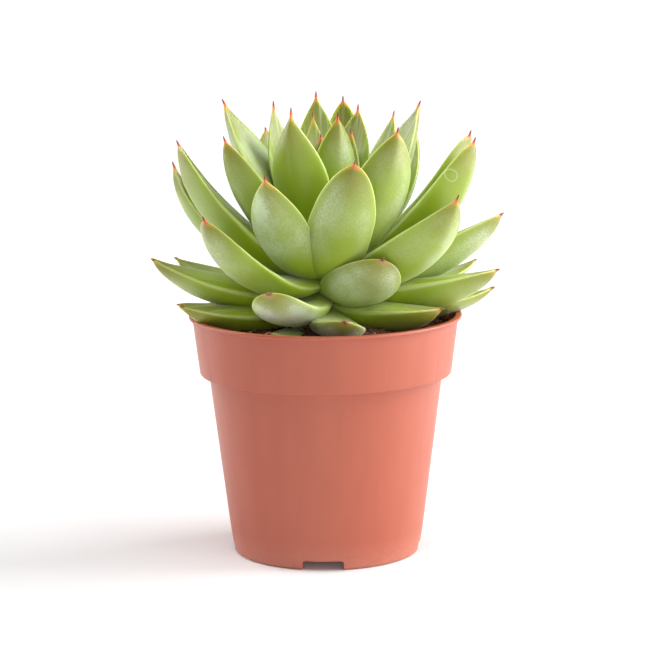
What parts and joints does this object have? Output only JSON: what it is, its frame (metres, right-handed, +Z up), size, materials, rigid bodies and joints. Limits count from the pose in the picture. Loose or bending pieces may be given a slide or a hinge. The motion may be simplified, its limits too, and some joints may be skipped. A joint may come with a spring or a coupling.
{
  "type": "potted succulent",
  "caption": "Rosette succulent with thick, pointed, keeled green leaves in a tapered terracotta-coloured plastic nursery pot filled with soil.",
  "frame": {"origin": "on the standing surface, under the pot's axis", "axes": "+Z up along the pot's axis; the front of the pot and plant faces -Y"},
  "size_m": [0.1525, 0.122, 0.2005],
  "materials": {
    "pot": "satin",
    "soil": "matte",
    "stem": "satin",
    "outer_leaf": "satin",
    "inner_leaf": "satin"
  },
  "bodies": {
    "root": {"pot": "pot", "soil": "soil", "stem": "stem", "leaf_01": "outer_leaf", "leaf_02": "outer_leaf", "leaf_03": "outer_leaf", "leaf_04": "outer_leaf", "leaf_05": "outer_leaf", "leaf_06": "outer_leaf", "leaf_07": "outer_leaf", "leaf_08": "outer_leaf", "leaf_09": "outer_leaf", "leaf_10": "outer_leaf", "leaf_11": "outer_leaf", "leaf_12": "outer_leaf", "leaf_13": "outer_leaf", "leaf_14": "outer_leaf", "leaf_15": "outer_leaf", "leaf_16": "outer_leaf", "leaf_17": "outer_leaf", "leaf_18": "outer_leaf", "leaf_19": "outer_leaf", "leaf_20": "outer_leaf", "leaf_21": "outer_leaf", "leaf_22": "outer_leaf", "leaf_23": "outer_leaf", "leaf_24": "outer_leaf", "leaf_25": "outer_leaf", "leaf_26": "inner_leaf", "leaf_27": "inner_leaf", "leaf_28": "inner_leaf", "leaf_29": "inner_leaf", "leaf_30": "inner_leaf", "leaf_31": "inner_leaf", "leaf_32": "inner_leaf", "leaf_33": "inner_leaf", "leaf_34": "inner_leaf", "leaf_35": "inner_leaf", "leaf_36": "inner_leaf", "leaf_37": "inner_leaf", "leaf_38": "inner_leaf", "leaf_39": "inner_leaf", "leaf_40": "inner_leaf", "leaf_41": "inner_leaf", "leaf_42": "inner_leaf", "leaf_43": "inner_leaf", "leaf_44": "inner_leaf"}
  },
  "joints": []
}
